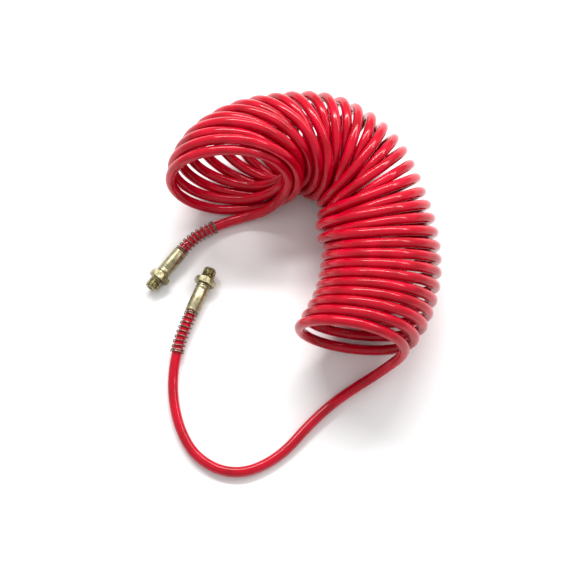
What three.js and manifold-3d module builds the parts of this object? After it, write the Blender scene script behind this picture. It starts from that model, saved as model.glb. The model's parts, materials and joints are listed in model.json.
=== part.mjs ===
// Coiled (recoil) air hose lying on a flat surface: one polyamide tube wound into an arch of leaning
// turns, with a short inlet lead and a long outlet lead. Each lead ends in a spring guard, a plain
// ferrule, a barbed stem and a swivelling body with a hexagon and a male thread.
// Millimetres, +Z up. The origin is on the resting surface, under the middle of the whole object.
import * as THREE from "three";
import { mergeVertices } from "three/addons/utils/BufferGeometryUtils.js";
import Module from "manifold-3d";

// ---- driving dimensions ----
const HOSE_OUTER_R = 5;
const HOSE_INNER_R = 4.05;
const HOSE_SIDES = 12;
const LEAD_STEP = 10; // spacing of the lead's sections along its route

const ROUND = 24; // facets round every turned piece
const GAP = 0.3; // between pieces that touch
const RUNNING_GAP = 0.05; // radial, journal in its bore

// The fitting's places are distances along its axis, from the ferrule's open end to the thread's tip.
const FERRULE_LENGTH = 28;
const FERRULE_OUTER_R = 7.1;
const FERRULE_INNER_R = 5.35;
const FERRULE_LIP = 1.5;
const FERRULE_EDGE = 0.5;
const STEM_START = 3;
const STEM_BORE_R = 2.4;
const BARB_CREST_R = 3.6;
const BARB_ROOT_R = 3.25;
const BARB_PITCH = 4.5;
const BARB_COUNT = 5;
const BARB_SLOPE = 0.85; // share of the pitch that climbs
const BARB_TOP = 0.9; // share of the pitch where it drops
const NECK_R = 3.05;
const COLLAR_R = 7;
const COLLAR_WIDTH = 2;
const JOURNAL_R = 4.4;
const JOURNAL_END = 41.3;
const RETAINER_AT = 33.8;
const RETAINER_WIDTH = 0.8;
const RETAINER_INNER_R = 4.12;
const RETAINER_OUTER_R = 4.85;
const RETAINER_SLOT = 2.4;
const RETAINER_PLAY = 0.2; // in its grooves, along the axis
const O_RING_AT = 38.2;
const O_RING_R = 3.88;
const O_RING_SECTION_R = 0.5;
const O_RING_GROOVE_R = 3.3;
const HEX_ACROSS_FLATS = 19;
const HEX_LENGTH = 6;
const HEX_CHAMFER = 0.7; // along the axis
const HEX_CHAMFER_DEPTH = 1.2; // in from the corners
const THREAD_MAJOR_R = 6.58; // G 1/4
const THREAD_ROOT_R = 5.8;
const THREAD_PITCH = 1.337;
const THREAD_TURNS = 7;
const THREAD_RELIEF = 1.3;
const THREAD_CREST = 0.16; // flat share of the pitch
const LAST_CREST_DROP = 0.35;
const TIP_LENGTH = 1; // plain, past the thread
const TIP_CHAMFER = 0.4;
const BODY_BORE_R = 3;

const GUARD_WIRE_R = 0.7;
const GUARD_R = 6.2; // to the middle of the wire
const GUARD_LENGTH = 45;
const GUARD_PITCH = 4.6;
const GUARD_STEPS_PER_TURN = 12;
const GUARD_SIDES = 6;

const FITTING_HEIGHT = HEX_ACROSS_FLATS / 2; // the hexagon lies on one flat
const COLLAR_AT = FERRULE_LENGTH + GAP;
const BODY_START = COLLAR_AT + COLLAR_WIDTH + GAP;
const HEX_END = BODY_START + HEX_LENGTH;
const BODY_END = HEX_END + THREAD_RELIEF + THREAD_TURNS * THREAD_PITCH + TIP_LENGTH;
const HOSE_END = FERRULE_LENGTH - FERRULE_LIP - GAP;
const HOSE_STRAIGHT = [-6, 1, 9, 17, HOSE_END]; // where the lead runs along the axis

// ---- route ----
// Stations along the coil, about one for every second turn, from the inlet mouth round the crown to
// the outlet mouth: the middle of the turn, its half width and half height to the hose's centre, the
// compass angle of its outer side, and how far its top leans forward (degrees).
const COIL_STATIONS = [
  { x: -56, y: 98.2, halfWidth: 61, halfHeight: 61, outward: 182, lean: 5 },
  { x: -45, y: 121, halfWidth: 59, halfHeight: 60, outward: 165, lean: 10 },
  { x: -25, y: 132, halfWidth: 55, halfHeight: 57, outward: 145, lean: 14 },
  { x: 0, y: 138, halfWidth: 50, halfHeight: 52, outward: 121, lean: 19 },
  { x: 23, y: 138.5, halfWidth: 46, halfHeight: 49, outward: 97, lean: 23 },
  { x: 45, y: 132, halfWidth: 45, halfHeight: 48, outward: 74, lean: 25 },
  { x: 62, y: 119, halfWidth: 45, halfHeight: 48, outward: 53, lean: 25 },
  { x: 74, y: 98, halfWidth: 46, halfHeight: 49, outward: 35, lean: 25 },
  { x: 81, y: 76, halfWidth: 48, halfHeight: 50, outward: 20, lean: 24 },
  { x: 84, y: 52, halfWidth: 51, halfHeight: 52, outward: 10, lean: 22 },
  { x: 87, y: 27, halfWidth: 53, halfHeight: 53, outward: 3, lean: 19 },
  { x: 86, y: 2, halfWidth: 54, halfHeight: 54, outward: -2, lean: 15 },
  { x: 81, y: -23, halfWidth: 54, halfHeight: 54, outward: -6, lean: 10 },
  { x: 71, y: -47, halfWidth: 54, halfHeight: 54, outward: -8, lean: 5 },
  { x: 58.3, y: -70.8, halfWidth: 52, halfHeight: 52, outward: -10, lean: 0 },
];
const COIL_SIDES = 32;

// Each lead's route from the coil to its fitting, along the surface and up to the fitting's height.
const INLET_ROUTE = [
  [-30, 89, 10],
  [-39, 87, 6.6],
  [-50, 83.5, 5.3],
  [-63, 78, 6.2],
  [-75, 71.8, 7.3],
  [-86, 65.2, 8.2],
  [-94, 59.4, 8.8],
  [-100.8, 53, 9.3],
];
const OUTLET_ROUTE = [
  [94, -82, 21],
  [84.5, -86.5, 12],
  [71, -94, 6.6],
  [56, -103.5, 5.1],
  [40, -115.5, 5.1],
  [25, -129, 5.1],
  [12, -142.5, 5.1],
  [0, -156, 5.1],
  [-13, -167.5, 5.1],
  [-28, -176.5, 5.1],
  [-42, -181.5, 5.1],
  [-56, -182.5, 5.1],
  [-70, -179.5, 5.1],
  [-83, -172.5, 5.1],
  [-93.5, -163, 5.1],
  [-101.5, -151, 5.1],
  [-108, -136, 5.1],
  [-112.3, -120, 5.1],
  [-114.5, -105, 5.1],
  [-115, -91, 5.5],
  [-114, -77, 6.4],
  [-111.6, -63, 7.4],
  [-108, -49, 8.4],
  [-103.4, -36.5, 9.1],
];
const FITTINGS = [
  { end: "inlet", x: -110.7, y: 40.8, heading: -127, route: INLET_ROUTE },
  { end: "outlet", x: -97.9, y: -22.3, heading: 68, route: OUTLET_ROUTE },
];

const MATERIALS = {
  hose: new THREE.MeshStandardMaterial({ color: 0xc3001c, roughness: 0.22, metalness: 0 }),
  brass: new THREE.MeshStandardMaterial({ color: 0xb09a5a, roughness: 0.3, metalness: 1 }),
  spring: new THREE.MeshStandardMaterial({ color: 0x8c7f6e, roughness: 0.35, metalness: 1 }),
  seal: new THREE.MeshStandardMaterial({ color: 0x151515, roughness: 0.6, metalness: 0 }),
  steel: new THREE.MeshStandardMaterial({ color: 0x9a9a96, roughness: 0.35, metalness: 1 }),
};

const wasm = await Module();
wasm.setup();

// ---- solids ----
function weld(geometry) {
  const bare = geometry.clone();
  bare.deleteAttribute("normal");
  bare.deleteAttribute("uv");
  return mergeVertices(bare, 1e-4);
}

function toSolid(geometry) {
  const { index, attributes } = weld(geometry);
  const triVerts = new Uint32Array(index.array);
  const vertProperties = new Float32Array(attributes.position.array);
  return new wasm.Manifold(new wasm.Mesh({ numProp: 3, vertProperties, triVerts }));
}

function toGeometry(solid) {
  const mesh = solid.getMesh();
  const geometry = new THREE.BufferGeometry();
  geometry.setAttribute("position", new THREE.BufferAttribute(mesh.vertProperties, 3));
  geometry.setIndex(new THREE.BufferAttribute(mesh.triVerts, 1));
  geometry.computeVertexNormals();
  return geometry;
}

// A turned solid about +Y from [radius, place] pairs, given so that its faces point out.
function turned(profile) {
  const points = profile.map(([radius, place]) => new THREE.Vector2(radius, place));
  return new THREE.LatheGeometry(points, ROUND);
}

// A hole's facets touch the true circle from outside, so that a shaft of that radius goes in.
function holeRadius(radius) {
  return radius / Math.cos(Math.PI / ROUND);
}

// ---- the fitting's pieces, along +Y ----
function ferrule() {
  const hose = holeRadius(FERRULE_INNER_R);
  const neck = holeRadius(NECK_R + GAP);
  const lip = FERRULE_LENGTH - FERRULE_LIP;
  return turned([
    [hose, 0],
    [FERRULE_OUTER_R - FERRULE_EDGE, 0],
    [FERRULE_OUTER_R, FERRULE_EDGE],
    [FERRULE_OUTER_R, FERRULE_LENGTH - FERRULE_EDGE],
    [FERRULE_OUTER_R - FERRULE_EDGE, FERRULE_LENGTH],
    [neck, FERRULE_LENGTH],
    [neck, lip],
    [hose, lip],
    [hose, 0],
  ]);
}

function barbs() {
  const points = [];
  for (let i = 0; i < BARB_COUNT; i++) {
    const at = STEM_START + i * BARB_PITCH;
    points.push([BARB_ROOT_R, at], [BARB_CREST_R, at + BARB_SLOPE * BARB_PITCH]);
    points.push([BARB_CREST_R, at + BARB_TOP * BARB_PITCH]);
  }
  return points;
}

function grooved(groove, at, width) {
  return [
    [JOURNAL_R, at - width / 2],
    [groove, at - width / 2],
    [groove, at + width / 2],
    [JOURNAL_R, at + width / 2],
  ];
}

function stem() {
  const retainerGroove = RETAINER_INNER_R - 0.17;
  return turned([
    [STEM_BORE_R, STEM_START],
    ...barbs(),
    [NECK_R, STEM_START + BARB_COUNT * BARB_PITCH],
    [NECK_R, COLLAR_AT],
    [COLLAR_R, COLLAR_AT],
    [COLLAR_R, COLLAR_AT + COLLAR_WIDTH],
    [JOURNAL_R, COLLAR_AT + COLLAR_WIDTH],
    ...grooved(retainerGroove, RETAINER_AT, RETAINER_WIDTH + 2 * RETAINER_PLAY),
    ...grooved(O_RING_GROOVE_R, O_RING_AT, 4 * O_RING_SECTION_R - 0.4),
    [JOURNAL_R, JOURNAL_END],
    [STEM_BORE_R, JOURNAL_END],
    [STEM_BORE_R, STEM_START],
  ]);
}

function oRing() {
  const ring = new THREE.TorusGeometry(O_RING_R, O_RING_SECTION_R, 8, ROUND);
  return ring.rotateX(Math.PI / 2).translate(0, O_RING_AT, 0);
}

function retainingRing() {
  const low = RETAINER_AT - RETAINER_WIDTH / 2;
  const high = RETAINER_AT + RETAINER_WIDTH / 2;
  const ring = turned([
    [RETAINER_INNER_R, low],
    [RETAINER_OUTER_R, low],
    [RETAINER_OUTER_R, high],
    [RETAINER_INNER_R, high],
    [RETAINER_INNER_R, low],
  ]);
  const slot = new THREE.BoxGeometry(RETAINER_SLOT, 2 * RETAINER_WIDTH, RETAINER_OUTER_R * 2);
  slot.translate(0, RETAINER_AT, RETAINER_OUTER_R);
  return toGeometry(toSolid(ring).subtract(toSolid(slot)));
}

function threadTeeth() {
  const points = [];
  const first = HEX_END + THREAD_RELIEF;
  for (let i = 0; i < THREAD_TURNS; i++) {
    const at = first + i * THREAD_PITCH;
    const crest = i === THREAD_TURNS - 1 ? THREAD_MAJOR_R - LAST_CREST_DROP : THREAD_MAJOR_R;
    points.push([THREAD_ROOT_R, at], [crest, at + (0.5 - THREAD_CREST / 2) * THREAD_PITCH]);
    points.push([crest, at + (0.5 + THREAD_CREST / 2) * THREAD_PITCH]);
  }
  return points;
}

function hexagon() {
  const cornerR = HEX_ACROSS_FLATS / Math.sqrt(3);
  const middle = (BODY_START + HEX_END) / 2;
  const prism = new THREE.CylinderGeometry(cornerR, cornerR, HEX_LENGTH, 6);
  prism.rotateY(Math.PI / 6).translate(0, middle, 0);
  const crown = turned([
    [0, BODY_START],
    [cornerR - HEX_CHAMFER_DEPTH, BODY_START],
    [cornerR, BODY_START + HEX_CHAMFER],
    [cornerR, HEX_END - HEX_CHAMFER],
    [cornerR - HEX_CHAMFER_DEPTH, HEX_END],
    [0, HEX_END],
  ]);
  return toSolid(prism).intersect(toSolid(crown));
}

function swivelBody() {
  const shank = turned([
    [0, BODY_START + 1],
    [THREAD_ROOT_R, BODY_START + 1],
    ...threadTeeth(),
    [THREAD_ROOT_R, BODY_END - TIP_LENGTH],
    [THREAD_ROOT_R - TIP_CHAMFER, BODY_END],
    [0, BODY_END],
  ]);
  const journal = holeRadius(JOURNAL_R + RUNNING_GAP);
  const groove = holeRadius(RETAINER_OUTER_R + 0.15);
  const grooveHalf = RETAINER_WIDTH / 2 + RETAINER_PLAY;
  const floor = JOURNAL_END + GAP;
  const bore = turned([
    [0, BODY_START - 1],
    [journal, BODY_START - 1],
    [journal, RETAINER_AT - grooveHalf],
    [groove, RETAINER_AT - grooveHalf],
    [groove, RETAINER_AT + grooveHalf],
    [journal, RETAINER_AT + grooveHalf],
    [journal, floor],
    [BODY_BORE_R, floor],
    [BODY_BORE_R, BODY_END + 1],
    [0, BODY_END + 1],
  ]);
  return toGeometry(hexagon().add(toSolid(shank)).subtract(toSolid(bore)));
}

// ---- hose ----
// The frame of a fitting: +Y along its axis towards the thread's tip, +Z up.
function fittingFrame({ x, y, heading }) {
  const angle = THREE.MathUtils.degToRad(heading);
  const along = new THREE.Vector3(Math.cos(angle), Math.sin(angle), 0);
  const up = new THREE.Vector3(0, 0, 1);
  const side = new THREE.Vector3().crossVectors(along, up);
  const frame = new THREE.Matrix4().makeBasis(side, along, up);
  return frame.setPosition(x, y, FITTING_HEIGHT);
}

// A lead's centre line: its route, then straight along the fitting's axis to the hose's cut end.
function leadCurve(fitting) {
  const frame = fittingFrame(fitting);
  const straight = HOSE_STRAIGHT.map((place) =>
    new THREE.Vector3(0, place, 0).applyMatrix4(frame),
  );
  const route = fitting.route.map((point) => new THREE.Vector3(...point));
  return new THREE.CatmullRomCurve3([...route, ...straight]);
}

function circle(radius, sides, PathType) {
  const path = new PathType();
  for (let i = 0; i <= sides; i++) {
    const angle = (2 * Math.PI * i) / sides;
    const place = [radius * Math.cos(angle), radius * Math.sin(angle)];
    if (i === 0) path.moveTo(...place);
    else path.lineTo(...place);
  }
  return path;
}

function lead(curve) {
  const section = circle(HOSE_OUTER_R, HOSE_SIDES, THREE.Shape);
  section.holes.push(circle(HOSE_INNER_R, HOSE_SIDES, THREE.Path));
  const steps = Math.round(curve.getLength() / LEAD_STEP);
  return new THREE.ExtrudeGeometry(section, { steps, extrudePath: curve });
}

// The spring guard winds round the lead, from just behind the ferrule back along the hose.
class GuardCurve extends THREE.Curve {
  constructor(core) {
    super();
    this.core = core;
    this.far = core.getLength() - HOSE_END - GAP - GUARD_WIRE_R;
    this.length = core.getLength();
    this.turns = GUARD_LENGTH / GUARD_PITCH;
  }

  getPoint(t, target = new THREE.Vector3()) {
    const u = (this.far - GUARD_LENGTH * t) / this.length;
    const tangent = this.core.getTangentAt(u);
    const side = new THREE.Vector3(-tangent.y, tangent.x, 0).normalize();
    const up = new THREE.Vector3().crossVectors(tangent, side);
    const angle = 2 * Math.PI * this.turns * t;
    target.copy(this.core.getPointAt(u));
    target.addScaledVector(side, GUARD_R * Math.cos(angle));
    return target.addScaledVector(up, GUARD_R * Math.sin(angle));
  }
}

function springGuard(core) {
  const wire = circle(GUARD_WIRE_R, GUARD_SIDES, THREE.Shape);
  const steps = Math.round((GUARD_LENGTH / GUARD_PITCH) * GUARD_STEPS_PER_TURN);
  return new THREE.ExtrudeGeometry(wire, { steps, extrudePath: new GuardCurve(core) });
}

// One turn of the coil as an outline round its station, leaning with it, resting on the surface.
function turnOutline({ x, y, halfWidth, halfHeight, outward, lean }) {
  const angle = THREE.MathUtils.degToRad(outward);
  const tilt = THREE.MathUtils.degToRad(lean);
  const side = new THREE.Vector3(Math.cos(angle), Math.sin(angle), 0);
  const up = new THREE.Vector3(Math.sin(angle), -Math.cos(angle), 0).multiplyScalar(Math.sin(tilt));
  up.z = Math.cos(tilt);
  const height = halfHeight + HOSE_OUTER_R;
  const middle = new THREE.Vector3(x, y, height * up.z);
  return Array.from({ length: COIL_SIDES }, (_, i) => {
    const turn = (2 * Math.PI * i) / COIL_SIDES;
    return middle
      .clone()
      .addScaledVector(side, (halfWidth + HOSE_OUTER_R) * Math.sin(turn))
      .addScaledVector(up, -height * Math.cos(turn));
  });
}

// The coil's outer shape: its turns' outlines skinned into one closed body with flat ends.
function coilEnvelope() {
  const rings = COIL_STATIONS.map(turnOutline);
  const index = [];
  rings.slice(1).forEach((_, r) => {
    for (let i = 0; i < COIL_SIDES; i++) {
      const a = r * COIL_SIDES + i;
      const b = r * COIL_SIDES + ((i + 1) % COIL_SIDES);
      index.push(a, b, a + COIL_SIDES, b, b + COIL_SIDES, a + COIL_SIDES);
    }
  });
  const last = (rings.length - 1) * COIL_SIDES;
  for (let i = 1; i < COIL_SIDES - 1; i++) {
    index.push(0, i + 1, i, last, last + i, last + i + 1);
  }
  const geometry = new THREE.BufferGeometry().setFromPoints(rings.flat());
  geometry.setIndex(index);
  geometry.computeVertexNormals();
  return geometry;
}

// ---- assembly ----
function named(name, geometry, material) {
  const mesh = new THREE.Mesh(geometry, material);
  mesh.name = name;
  return mesh;
}

function endFitting(fitting) {
  const { end } = fitting;
  const group = new THREE.Group();
  fittingFrame(fitting).decompose(group.position, group.quaternion, group.scale);
  group.add(
    named(`ferrule_${end}`, ferrule(), MATERIALS.brass),
    named(`stem_${end}`, stem(), MATERIALS.brass),
    named(`o_ring_${end}`, oRing(), MATERIALS.seal),
    named(`retaining_ring_${end}`, retainingRing(), MATERIALS.steel),
    named(`swivel_body_${end}`, swivelBody(), MATERIALS.brass),
  );
  return group;
}

const airHose = new THREE.Group();
airHose.add(named("hose_coil", coilEnvelope(), MATERIALS.hose));
for (const fitting of FITTINGS) {
  const core = leadCurve(fitting);
  airHose.add(
    named(`hose_lead_${fitting.end}`, lead(core), MATERIALS.hose),
    named(`spring_guard_${fitting.end}`, springGuard(core), MATERIALS.spring),
    endFitting(fitting),
  );
}

export default airHose;
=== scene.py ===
"""Looks of the coiled air hose: one red plastic tube wound into an arch of leaning turns, with a spring
guard, a ferrule and a swivelling threaded fitting on each end, on a pale studio floor."""

import json
import math

import bpy
import numpy as np
from mathutils import Matrix, Vector

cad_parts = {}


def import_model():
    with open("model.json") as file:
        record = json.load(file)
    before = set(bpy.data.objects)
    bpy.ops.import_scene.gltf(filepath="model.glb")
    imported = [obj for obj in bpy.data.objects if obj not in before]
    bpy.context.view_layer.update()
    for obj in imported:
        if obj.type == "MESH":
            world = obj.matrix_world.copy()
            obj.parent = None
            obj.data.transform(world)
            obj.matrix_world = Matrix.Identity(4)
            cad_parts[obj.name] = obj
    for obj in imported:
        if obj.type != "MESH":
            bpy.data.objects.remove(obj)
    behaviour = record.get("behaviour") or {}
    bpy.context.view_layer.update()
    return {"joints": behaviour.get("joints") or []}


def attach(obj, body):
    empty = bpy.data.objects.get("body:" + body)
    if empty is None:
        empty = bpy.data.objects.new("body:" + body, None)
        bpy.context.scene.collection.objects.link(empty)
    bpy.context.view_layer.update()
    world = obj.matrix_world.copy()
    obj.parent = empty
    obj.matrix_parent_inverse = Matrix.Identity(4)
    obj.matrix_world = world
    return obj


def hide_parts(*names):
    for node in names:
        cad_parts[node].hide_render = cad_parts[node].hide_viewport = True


MM = 0.001

# ---- the hose's route, in millimetres ----
HOSE_OUTER_R = 5
# One row per station along the coil: turn number, middle of the turn (x, y), its radius to the hose's
# centre, compass angle of its outer side, forward lean of its top (degrees), how far the inner side of
# every other turn steps back, and how far the inner side is squashed outward.
COIL_STATIONS = [
    (0.5, -57, 97, 58, 184, 3, 0, 0),
    (1, -57, 96, 61, 182, 6, 0, 0),
    (2.3, -53.5, 108, 61, 177.5, 7, 1.5, 0),
    (3.9, -46, 119, 59.5, 170, 8, 4, 1),
    (6.5, -24, 132.5, 54.5, 149, 11, 6, 2.5),
    (9.1, 1, 141, 48, 122, 16, 6, 3.5),
    (11.6, 25, 143, 46, 97, 20, 5, 4),
    (14, 46.5, 135, 45.5, 74, 22, 4, 4.5),
    (16.2, 63, 120, 46, 53, 22, 4, 4.5),
    (18.5, 74, 98.5, 47.5, 35, 22, 4, 4.5),
    (20.7, 79, 75, 50, 20, 22, 3, 2),
    (22.8, 84, 52, 52, 10, 20, 1, 0),
    (24.9, 87, 27, 53, 3, 18, 0, 0),
    (27, 86, 2, 54, -2, 15, 0, 0),
    (29, 81, -23, 54, -6, 10, 0, 0),
    (31, 71, -47, 54, -8, 5, 0, 0),
    (33, 56, -70, 52, -10, 0, 0, 0),
]
FIRST_TURN = 0.5
LAST_TURN = 32.9
POINTS_PER_TURN = 24

# Each lead from the coil to its fitting. The straight end inside the fitting is added to it.
INLET_ROUTE = [
    (-3.5, 97, 44),
    (-11, 93.5, 27),
    (-24, 90, 13.5),
    (-37, 87.5, 7),
    (-50, 83.5, 5.3),
    (-63, 78, 6.2),
    (-75, 71.8, 7.3),
    (-86, 65.2, 8.2),
    (-94, 59.4, 8.8),
    (-100.8, 53, 9.3),
]
OUTLET_ROUTE = [
    (104, -79, 39),
    (95.5, -81.5, 22.5),
    (84.5, -86.5, 12),
    (71, -94, 6.6),
    (56, -103.5, 5.1),
    (40, -115.5, 5.1),
    (25, -129, 5.1),
    (12, -142.5, 5.1),
    (0, -156, 5.1),
    (-13, -167.5, 5.1),
    (-28, -176.5, 5.1),
    (-42, -181.5, 5.1),
    (-56, -182.5, 5.1),
    (-70, -179.5, 5.1),
    (-83, -172.5, 5.1),
    (-93.5, -163, 5.1),
    (-101.5, -151, 5.1),
    (-108, -136, 5.1),
    (-112.3, -120, 5.1),
    (-114.5, -105, 5.1),
    (-115, -91, 5.5),
    (-114, -77, 6.4),
    (-111.6, -63, 7.4),
    (-108, -49, 8.4),
    (-103.4, -36.5, 9.1),
]
STEP = 3.5  # between the points of the finished hose

# ---- how touching turns are pushed apart ----
HOSE_D = 2 * HOSE_OUTER_R
SETTLING_ROUNDS = 400
PAIRING_EVERY = 10  # rounds between two searches for near pairs
NEIGHBOUR_LENGTH = 60  # two points nearer than this along the hose are never pushed apart
SETTLING_LENGTH = 2430  # how far along the hose two stretches can still touch
NEAR = 1.7 * HOSE_D
TOUCHING = 1.005 * HOSE_D
PUSHED_TO = 1.01 * HOSE_D
PUSH_SHARE = 0.7  # of each push that is made in one round
KEPT_SHARE = 0.998  # of the move so far that is kept in each round
STIFFNESS_REACH = 12  # points that a push spreads over, each way
HELD_LENGTH = 60  # at each end, that no push moves
FREEING_LENGTH = 60  # over which the hose then becomes free

# ---- the fitting, in millimetres along its axis from the ferrule's open end ----
JOINT_AT = 33.6  # the swivel joint's point, in the middle of the hexagon
HOSE_END = 26.2
HOSE_STRAIGHT = (-6, 1, 9, 17, HOSE_END)
FERRULE_LENGTH = 28
FERRULE_OUTER_R = 7.1
FERRULE_INNER_R = 5.35
FERRULE_LIP = 1.5
NECK_R = 3.4
BODY_START = 30.6
HEX_LENGTH = 6
HEX_END = BODY_START + HEX_LENGTH
HEX_ACROSS_FLATS = 19
HEX_CHAMFER = 0.7
THREAD_MAJOR_R = 6.58  # G 1/4
THREAD_ROOT_R = 5.8
THREAD_PITCH = 1.337
THREAD_TURNS = 7
THREAD_RELIEF = 1.3
THREAD_END = HEX_END + THREAD_RELIEF + THREAD_TURNS * THREAD_PITCH
BODY_END = THREAD_END + 1
BORE_R = 3
JOURNAL_BORE_R = 4.5
JOURNAL_FLOOR = 41.6
GUARD_WIRE_R = 0.65
GUARD_R = 6.3
GUARD_FLARE = 0.2
GUARD_FLARE_START = 6  # before its last turn's end
GUARD_FLARE_LENGTH = 5
GUARD_SHUT_TURNS = 1.25  # at each end
GUARD_OPEN_TURNS = 8
GUARD_OPEN_PITCH = 4.9
GUARD_SHUT_PITCH = 1.45
GUARD_GAP = 1.1  # from the ferrule's lip to the middle of the first turn's wire
GUARD_POINTS_PER_TURN = 28
HEADING_REACH = 2  # each way along the hose, to read its direction

COLUMNS = 96  # round every turned piece
SHARP_EDGE = 28  # degrees

# ---- camera ----
CAMERA_TARGET = (-3, 6, 0)  # millimetres
CAMERA_DISTANCE = 1.5
CAMERA_ELEVATION = 70
CAMERA_LENS = 93.75


# ---- curves ----
def natural_spline(knots, values, at):
    """The smoothest curve through values (rows) at the given knots, read at other places."""
    knots, values = np.asarray(knots, float), np.asarray(values, float)
    gap = np.diff(knots)
    slope = np.diff(values, axis=0) / gap[:, None]
    count = len(knots)
    system = np.eye(count)
    right = np.zeros_like(values)
    for i in range(1, count - 1):
        system[i, i - 1 : i + 2] = gap[i - 1], 2 * (gap[i - 1] + gap[i]), gap[i]
        right[i] = 6 * (slope[i] - slope[i - 1])
    bend = np.linalg.solve(system, right)
    k = np.clip(np.searchsorted(knots, at) - 1, 0, count - 2)
    h, a, b = gap[k, None], (knots[k + 1] - at)[:, None], (at - knots[k])[:, None]
    linear = (values[k] / h - bend[k] * h / 6) * a + (values[k + 1] / h - bend[k + 1] * h / 6) * b
    return linear + (bend[k] * a**3 + bend[k + 1] * b**3) / (6 * h)


def arc_lengths(points):
    return np.concatenate([[0], np.cumsum(np.linalg.norm(np.diff(points, axis=0), axis=1))])


def points_at(points, places):
    """Points of a line at the given distances along it."""
    along = arc_lengths(points)
    return np.stack([np.interp(places, along, points[:, k]) for k in range(3)], axis=1)


def evenly(points, step):
    """The same line with its points a step apart."""
    length = arc_lengths(points)[-1]
    return points_at(points, np.linspace(0, length, round(length / step) + 1))


# ---- the hose's line ----
def coil_line():
    """A helix whose turns stand on the floor round an arch, each leaning forward like a fallen row."""
    rows = np.array(COIL_STATIONS, float)
    turns = np.linspace(FIRST_TURN, LAST_TURN, round((LAST_TURN - FIRST_TURN) * POINTS_PER_TURN) + 1)
    x, y, radius, outward, lean, stagger, squash = natural_spline(rows[:, 0], rows[:, 1:], turns).T
    outward, lean, angle = np.radians(outward), np.radians(lean), 2 * math.pi * turns
    side = np.stack([np.cos(outward), np.sin(outward), 0 * turns], axis=1)
    forward = np.stack([np.sin(outward), -np.cos(outward), 0 * turns], axis=1)
    up = forward * np.sin(lean)[:, None]
    up[:, 2] = np.cos(lean)
    inner = (1 - np.cos(angle)) / 2
    out = radius * np.cos(angle) + (stagger * np.sin(angle / 2) + squash) * inner
    middle = np.stack([x, y, radius * np.cos(lean) + HOSE_OUTER_R], axis=1)
    return middle + side * out[:, None] - up * (radius * np.sin(angle))[:, None]


def near_pairs(line):
    """Pairs of points of the line that are near each other but not neighbours along it."""
    skip = round(NEIGHBOUR_LENGTH / STEP)
    reach = round(SETTLING_LENGTH / STEP)
    partner = np.arange(len(line))[:, None] + np.arange(skip, reach)[None, :]
    inside = partner < len(line)
    points = line.astype(np.float32)
    gap = points[np.minimum(partner, len(line) - 1)] - points[:, None]
    near = (gap**2).sum(axis=2) < NEAR**2
    first, step = np.nonzero(inside & near)
    return first, first + step + skip


def pushes(first, second, between, distance, count):
    """What each point is pushed by, as a mean over its touching pairs, and how many pairs it has."""
    push = between * ((PUSHED_TO - distance) / distance / 2)[:, None]
    total, hits = np.zeros((count, 3)), np.zeros(count)
    np.add.at(total, first, -push)
    np.add.at(total, second, push)
    np.add.at(hits, first, 1)
    np.add.at(hits, second, 1)
    return total / np.maximum(hits, 1)[:, None], hits


def spread_out(push, hits):
    """The pushes spread along the hose, as its stiffness does."""
    window = np.hanning(2 * STIFFNESS_REACH + 3)
    pushed = np.stack([np.convolve(push[:, k], window, "same") for k in range(3)], axis=1)
    weight = np.convolve((hits > 0).astype(float), window, "same")
    return pushed / np.maximum(weight, 1)[:, None]


def settle(line):
    """Push touching turns apart, keeping the hose smooth and on the floor."""
    along = arc_lengths(line)
    from_end = np.minimum(along, along[-1] - along)
    free = np.clip((from_end - HELD_LENGTH) / FREEING_LENGTH, 0, 1)[:, None]
    moved = np.zeros_like(line)
    for turn in range(SETTLING_ROUNDS):
        now = line + moved
        if turn % PAIRING_EVERY == 0:
            first, second = near_pairs(now)
        between = now[second] - now[first]
        distance = np.linalg.norm(between, axis=1)
        hit = distance < TOUCHING
        if not hit.any():
            break
        push, hits = pushes(first[hit], second[hit], between[hit], distance[hit], len(line))
        moved = KEPT_SHARE * (moved + PUSH_SHARE * free * spread_out(push, hits))
        moved[1:-1] = 0.5 * moved[1:-1] + 0.25 * (moved[:-2] + moved[2:])
        moved[:, 2] = np.maximum(moved[:, 2], HOSE_OUTER_R - line[:, 2])
    return line + moved


class Fitting:
    """One end's place: its swivel joint gives the axis, and places along it count from the ferrule."""

    def __init__(self, end, joints):
        joint = next(j for j in joints if j["name"] == f"{end}_swivel_spin")
        self.end = end
        self.axis = Vector(joint["axis"]).normalized()
        self.start = Vector(joint["pos_m"]) - self.axis * JOINT_AT * MM
        self.body = f"{end}_swivel"

    def place(self, along):
        return self.start + self.axis * along * MM

    def matrix(self):
        """Its own frame: +Z along the axis, +Y up."""
        up = Vector((0, 0, 1))
        side = up.cross(self.axis)
        turn = Matrix((side, up, self.axis)).transposed().to_4x4()
        return Matrix.Translation(self.start) @ turn


def hose_line(inlet, outlet):
    """The whole hose's centre line in millimetres, from inside the inlet ferrule to inside the outlet's."""
    straight = [[tuple(end.place(a) / MM) for a in HOSE_STRAIGHT] for end in (inlet, outlet)]
    first = np.array(INLET_ROUTE + straight[0], float)[::-1]
    last = np.array(OUTLET_ROUTE + straight[1], float)
    knots = np.vstack([first, coil_line(), last])
    along = arc_lengths(knots)
    fine = natural_spline(along, knots, np.linspace(0, along[-1], round(along[-1])))
    return settle(evenly(fine, STEP))


def guard_pitches(turns):
    """The guard's pitch at each turn: shut at both ends and open between them."""
    from_end = np.minimum(turns, turns[-1] - turns)
    open_share = np.clip(from_end - GUARD_SHUT_TURNS + 0.5, 0, 1)
    return GUARD_SHUT_PITCH + (GUARD_OPEN_PITCH - GUARD_SHUT_PITCH) * open_share


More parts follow.
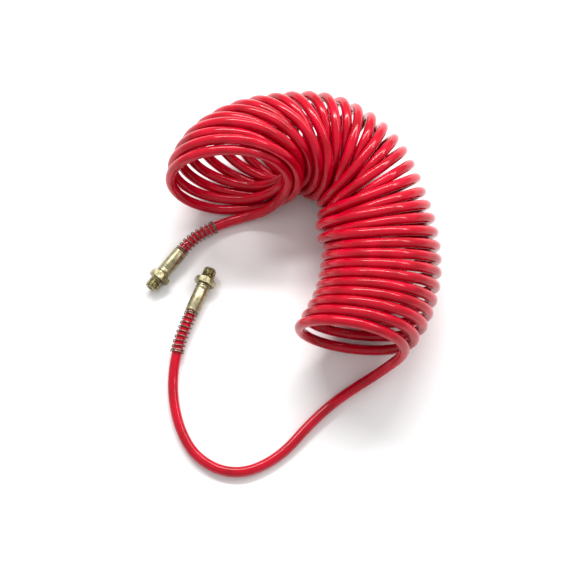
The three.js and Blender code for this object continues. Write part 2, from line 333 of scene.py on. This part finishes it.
def guard_line(hose):
    """The spring guard's wire round the hose, whose line starts at its cut end inside the ferrule."""
    count = 2 * GUARD_SHUT_TURNS + GUARD_OPEN_TURNS
    turns = np.linspace(0, count, round(count * GUARD_POINTS_PER_TURN))
    pitch = guard_pitches(turns)
    along = HOSE_END + GUARD_GAP + np.concatenate([[0], np.cumsum(pitch[1:] * np.diff(turns))])
    middle = points_at(hose, along)
    heading = points_at(hose, along + HEADING_REACH) - points_at(hose, along - HEADING_REACH)
    heading /= np.linalg.norm(heading, axis=1)[:, None]
    side = np.cross([0, 0, 1], heading)
    side /= np.linalg.norm(side, axis=1)[:, None]
    up = np.cross(heading, side)
    flare = np.clip((along - along[-1] + GUARD_FLARE_START) / GUARD_FLARE_LENGTH, 0, 1)
    radius = GUARD_R + GUARD_FLARE * flare
    angle = 2 * math.pi * turns
    across = side * (radius * np.cos(angle))[:, None]
    return middle + across + up * (radius * np.sin(angle))[:, None]


# ---- pieces ----
def tube(name, line, radius, finish, detail=6):
    """A round tube or wire along a line in metres."""
    data = bpy.data.curves.new(name, "CURVE")
    data.dimensions = "3D"
    data.bevel_depth = radius
    data.bevel_resolution = detail
    data.use_fill_caps = True
    spline = data.splines.new("POLY")
    spline.points.add(len(line) - 1)
    spline.points.foreach_set("co", np.hstack([line, np.ones((len(line), 1))]).ravel())
    data.materials.append(finish)
    piece = bpy.data.objects.new(name, data)
    bpy.context.collection.objects.link(piece)
    return piece


def turned(name, rows, finish, matrix):
    """A piece turned about its own +Z: each row is a place along it and a radius, or a radius for every
    column round it. The rows go round its section, and the last one joins the first."""
    angle = 2 * math.pi * np.arange(COLUMNS) / COLUMNS
    points = [
        np.stack([radius * np.cos(angle), radius * np.sin(angle), place + 0 * angle], axis=1)
        for place, radius in rows
    ]
    count = len(rows)
    faces = [
        (
            row * COLUMNS + column,
            row * COLUMNS + (column + 1) % COLUMNS,
            (row + 1) % count * COLUMNS + (column + 1) % COLUMNS,
            (row + 1) % count * COLUMNS + column,
        )
        for row in range(count)
        for column in range(COLUMNS)
    ]
    data = bpy.data.meshes.new(name)
    data.from_pydata((np.concatenate(points) * MM).tolist(), [], faces)
    data.polygons.foreach_set("use_smooth", [True] * len(faces))
    data.set_sharp_from_angle(angle=math.radians(SHARP_EDGE))
    data.materials.append(finish)
    piece = bpy.data.objects.new(name, data)
    piece.matrix_world = matrix
    bpy.context.collection.objects.link(piece)
    return piece


def rounded(place, radius, inward, along, steps=4):
    """Rows of a rounded edge: from the end face (place, radius - inward) to (place + along, radius)."""
    turn = np.linspace(0, math.pi / 2, steps)
    return [(place + along * (1 - math.cos(t)), radius - inward * (1 - math.sin(t))) for t in turn]


def ferrule_rows():
    """A plain drawn sleeve with a rolled lip at the hose's end and a shallow neck before the collar."""
    outer = FERRULE_OUTER_R
    return [
        (0.25, FERRULE_INNER_R),
        (0, FERRULE_INNER_R + 0.25),
        *rounded(0, outer - 0.05, 0.45, 0.6),
        (1.9, outer - 0.05),
        (2.3, outer - 0.3),
        (3.0, outer - 0.32),
        (3.6, outer - 0.12),
        (12, outer),
        (FERRULE_LENGTH - 5, outer - 0.05),
        (FERRULE_LENGTH - 4.2, outer - 0.35),
        (FERRULE_LENGTH - 3.2, outer - 0.35),
        (FERRULE_LENGTH - 2.6, outer - 0.05),
        *reversed(rounded(FERRULE_LENGTH, outer - 0.05, 0.6, -0.7)),
        (FERRULE_LENGTH, NECK_R),
        (FERRULE_LENGTH - FERRULE_LIP, NECK_R),
        (FERRULE_LENGTH - FERRULE_LIP, FERRULE_INNER_R),
    ]


def hexagon_radii(limit):
    """Radii round a hexagon with a flat facing up, cut to a circle of the given radius."""
    angle = 360 * np.arange(COLUMNS) / COLUMNS
    from_flat = (angle - 90 + 30) % 60 - 30
    return np.minimum(HEX_ACROSS_FLATS / 2 / np.cos(np.radians(from_flat)), limit)


def thread_rows():
    """The male thread as a height over its root, climbing one pitch for each turn round it."""
    start = HEX_END + THREAD_RELIEF
    share = np.arange(COLUMNS) / COLUMNS
    rows = []
    for place in np.linspace(start, THREAD_END, THREAD_TURNS * 10 + 1):
        phase = ((place - start) / THREAD_PITCH - share) % 1
        tooth = np.clip(1.3 * (1 - np.abs(2 * phase - 1)) - 0.1, 0, 1)
        fade = min(1, (place - start) / THREAD_PITCH, (THREAD_END + 0.5 - place) / THREAD_PITCH)
        rows.append((place, THREAD_ROOT_R + (THREAD_MAJOR_R - THREAD_ROOT_R) * tooth * fade))
    return rows


def swivel_rows():
    """The swivel body: a chamfered hexagon, a thread relief, the thread and a stepped bore."""
    corner = HEX_ACROSS_FLATS / math.sqrt(3)
    cut = 1.7 * HEX_CHAMFER
    steps = np.linspace(0, 1, 4)
    return [
        (BODY_START, JOURNAL_BORE_R),
        *[(BODY_START + HEX_CHAMFER * s, hexagon_radii(corner - cut * (1 - s))) for s in steps],
        *[(HEX_END - HEX_CHAMFER * (1 - s), hexagon_radii(corner - cut * s)) for s in steps],
        (HEX_END, THREAD_ROOT_R + 0.2),
        (HEX_END + 0.2, THREAD_ROOT_R - 0.05),
        *thread_rows(),
        (BODY_END - 0.45, THREAD_ROOT_R),
        (BODY_END, THREAD_ROOT_R - 0.45),
        (BODY_END, BORE_R + 0.5),
        (BODY_END - 0.5, BORE_R),
        (JOURNAL_FLOOR, BORE_R),
        (JOURNAL_FLOOR, JOURNAL_BORE_R),
    ]


# ---- finishes ----
class Finish:
    """A node material on the Principled shader, read in the piece's own coordinates."""

    def __init__(self, name, **values):
        self.material = bpy.data.materials.new(name)
        self.material.use_nodes = True
        self.tree = self.material.node_tree
        self.shader = self.tree.nodes["Principled BSDF"]
        self.places = self.tree.nodes.new("ShaderNodeTexCoord").outputs["Object"]
        for socket, value in values.items():
            self.shader.inputs[socket.replace("_", " ")].default_value = value

    def noise(self, scale, detail=4):
        node = self.tree.nodes.new("ShaderNodeTexNoise")
        node.inputs["Scale"].default_value = scale
        node.inputs["Detail"].default_value = detail
        self.tree.links.new(self.places, node.inputs["Vector"])
        return node.outputs["Fac"]

    def rings(self, scale, wander):
        """Fine bands across the piece's axis, like the marks a lathe leaves."""
        node = self.tree.nodes.new("ShaderNodeTexWave")
        node.bands_direction = "Z"
        node.inputs["Scale"].default_value = scale
        node.inputs["Distortion"].default_value = wander
        self.tree.links.new(self.places, node.inputs["Vector"])
        return node.outputs["Fac"]

    def colours(self, factor, *stops):
        """Base colour from (position, red, green, blue) stops over a factor."""
        node = self.tree.nodes.new("ShaderNodeValToRGB")
        ramp = node.color_ramp.elements
        for _ in range(len(stops) - len(ramp)):
            ramp.new(0.5)
        for element, (position, *colour) in zip(ramp, stops):
            element.position = position
            element.color = (*colour, 1)
        self.tree.links.new(factor, node.inputs["Fac"])
        self.tree.links.new(node.outputs["Color"], self.shader.inputs["Base Color"])

    def roughness(self, factor, low, high):
        node = self.tree.nodes.new("ShaderNodeMapRange")
        node.inputs["From Min"].default_value = 0.3
        node.inputs["From Max"].default_value = 0.7
        node.inputs["To Min"].default_value = low
        node.inputs["To Max"].default_value = high
        self.tree.links.new(factor, node.inputs["Value"])
        self.tree.links.new(node.outputs["Result"], self.shader.inputs["Roughness"])

    def relief(self, *layers):
        """Bump from (height, depth in millimetres, strength) layers, one over the other."""
        below = None
        for height, depth, strength in layers:
            node = self.tree.nodes.new("ShaderNodeBump")
            node.inputs["Distance"].default_value = depth * MM
            node.inputs["Strength"].default_value = strength
            self.tree.links.new(height, node.inputs["Height"])
            if below:
                self.tree.links.new(below, node.inputs["Normal"])
            below = node.outputs["Normal"]
        self.tree.links.new(below, self.shader.inputs["Normal"])


def red_plastic():
    """Glossy extruded polyamide: deep red, a little uneven in tone and gloss, with faint ripples."""
    finish = Finish("hose_red", Specular_IOR_Level=0.26, Coat_Weight=0.13, Coat_Roughness=0.06)
    cloudy = finish.noise(55, 3)
    finish.colours(
        cloudy,
        (0.3, 0.35, 0.0, 0.008),
        (0.52, 0.48, 0.0, 0.015),
        (0.72, 0.58, 0.0, 0.023),
    )
    finish.roughness(finish.noise(140), 0.12, 0.24)
    finish.relief((finish.noise(90, 2), 0.2, 0.2), (finish.noise(1300, 3), 0.012, 0.25))
    return finish.material


def turned_brass():
    """Machined brass: turning marks round it, a thin uneven tarnish and small handling scuffs."""
    finish = Finish("turned_brass", Metallic=1.0)
    tarnish = finish.noise(260, 6)
    finish.colours(
        tarnish,
        (0.32, 0.14, 0.12, 0.06),
        (0.5, 0.34, 0.3, 0.17),
        (0.68, 0.5, 0.455, 0.3),
    )
    finish.roughness(finish.noise(420, 5), 0.2, 0.42)
    finish.relief((finish.rings(900, 0.4), 0.03, 0.25), (finish.noise(1500, 5), 0.05, 0.35))
    return finish.material


def drawn_sleeve():
    """The ferrule's softer, slightly duller brass, with long shallow dents from pressing it on."""
    finish = Finish("ferrule_brass", Metallic=1.0)
    finish.colours(
        finish.noise(190, 6),
        (0.3, 0.16, 0.135, 0.075),
        (0.5, 0.35, 0.31, 0.185),
        (0.7, 0.48, 0.44, 0.29),
    )
    finish.roughness(finish.noise(300, 5), 0.3, 0.5)
    finish.relief((finish.noise(160, 2), 0.2, 0.4), (finish.noise(1300, 5), 0.05, 0.35))
    return finish.material


def spring_wire():
    """Plated spring wire, worn warmer where it rubs."""
    finish = Finish("spring_wire", Metallic=1.0)
    finish.colours(
        finish.noise(320, 5),
        (0.32, 0.10, 0.06, 0.045),
        (0.52, 0.27, 0.19, 0.15),
        (0.7, 0.44, 0.38, 0.32),
    )
    finish.roughness(finish.noise(700), 0.22, 0.45)
    finish.relief((finish.noise(2600, 3), 0.02, 0.4))
    return finish.material


def black_rubber():
    finish = Finish("seal_rubber", Specular_IOR_Level=0.35)
    finish.colours(finish.noise(800, 4), (0.35, 0.010, 0.010, 0.011), (0.65, 0.028, 0.028, 0.030))
    finish.roughness(finish.noise(1200), 0.45, 0.65)
    finish.relief((finish.noise(4000, 3), 0.02, 0.5))
    return finish.material


def plated_steel():
    finish = Finish("retainer_steel", Metallic=1.0)
    finish.colours(finish.noise(500, 5), (0.35, 0.26, 0.26, 0.25), (0.65, 0.52, 0.52, 0.50))
    finish.roughness(finish.noise(900), 0.25, 0.45)
    finish.relief((finish.noise(3000, 3), 0.02, 0.4))
    return finish.material


def dress(node, finish):
    """Give a CAD node its finish."""
    for held in bpy.data.objects[node].material_slots:
        held.material = finish


# ---- assembly ----
def add(piece, body, nodes):
    """Hang a piece on its body, in place of its CAD nodes."""
    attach(piece, body)
    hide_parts(*nodes)


def end_pieces(fitting, hose, finishes):
    """One end's guard, ferrule and swivel body, and finishes for the small pieces inside it."""
    end, matrix = fitting.end, fitting.matrix()
    wire = tube(f"guard_{end}", guard_line(hose) * MM, GUARD_WIRE_R * MM, finishes["guard"], 2)
    sleeve = turned(f"sleeve_{end}", ferrule_rows(), finishes["ferrule"], matrix)
    swivel = turned(f"threaded_swivel_{end}", swivel_rows(), finishes["fitting"], matrix)
    add(wire, "hose", [f"spring_guard_{end}"])
    add(sleeve, "hose", [f"ferrule_{end}"])
    add(swivel, fitting.body, [f"swivel_body_{end}"])
    dress(f"stem_{end}", finishes["fitting"])
    dress(f"o_ring_{end}", finishes["seal"])
    dress(f"retaining_ring_{end}", finishes["retainer"])
    return [sleeve, swivel, wire]


def main():
    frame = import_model()
    inlet, outlet = (Fitting(end, frame["joints"]) for end in ("inlet", "outlet"))
    finishes = {
        "hose": red_plastic(),
        "guard": spring_wire(),
        "ferrule": drawn_sleeve(),
        "fitting": turned_brass(),
        "seal": black_rubber(),
        "retainer": plated_steel(),
    }
    line = hose_line(inlet, outlet)
    hose = tube("hose", line * MM, HOSE_OUTER_R * MM, finishes["hose"])
    add(hose, "hose", ["hose_coil", "hose_lead_inlet", "hose_lead_outlet"])
    end_pieces(inlet, line, finishes)
    far_pieces = end_pieces(outlet, line[::-1], finishes)
    inlet.place(0)
    camera()
    studio()


def camera():
    data = bpy.data.cameras.new("camera")
    data.sensor_width = 36
    data.lens = CAMERA_LENS
    data.clip_end = 20
    seen = bpy.data.objects.new("camera", data)
    elevation = math.radians(CAMERA_ELEVATION)
    target = Vector(CAMERA_TARGET) * MM
    back = Vector((0, -math.cos(elevation), math.sin(elevation)))
    seen.location = target + back * CAMERA_DISTANCE
    seen.rotation_euler = (-back).to_track_quat("-Z", "Y").to_euler()
    bpy.context.collection.objects.link(seen)
    bpy.context.scene.camera = seen


def strip_light(name, place, long, wide, watts):
    """A long softbox facing the object, its length level."""
    light = bpy.data.lights.new(name, "AREA")
    light.shape = "RECTANGLE"
    light.size = long
    light.size_y = wide
    light.energy = watts
    lamp = bpy.data.objects.new(name, light)
    lamp.location = place
    lamp.rotation_euler = (-lamp.location).to_track_quat("-Z", "Y").to_euler()
    bpy.context.collection.objects.link(lamp)


def studio():
    bpy.ops.mesh.primitive_plane_add(size=12)
    floor = bpy.context.object
    floor.name = "floor"
    paper = Finish("paper_floor", Specular_IOR_Level=0.2)
    paper.colours(paper.noise(3), (0.3, 0.9, 0.9, 0.9), (0.7, 0.93, 0.93, 0.93))
    paper.roughness(paper.noise(8), 0.85, 0.95)
    floor.data.materials.append(paper.material)
    world = bpy.data.worlds.new("studio")
    world.use_nodes = True
    world.node_tree.nodes["Background"].inputs["Color"].default_value = (1, 1, 1, 1)
    world.node_tree.nodes["Background"].inputs["Strength"].default_value = 0.66
    bpy.context.scene.world = world
    bpy.context.scene.view_settings.view_transform = "Standard"
    strip_light("key", (-0.1, 1.15, 1.45), 1.8, 0.2, 42)
    strip_light("side", (1.15, 0.7, 1.3), 1.0, 0.2, 10)


main()
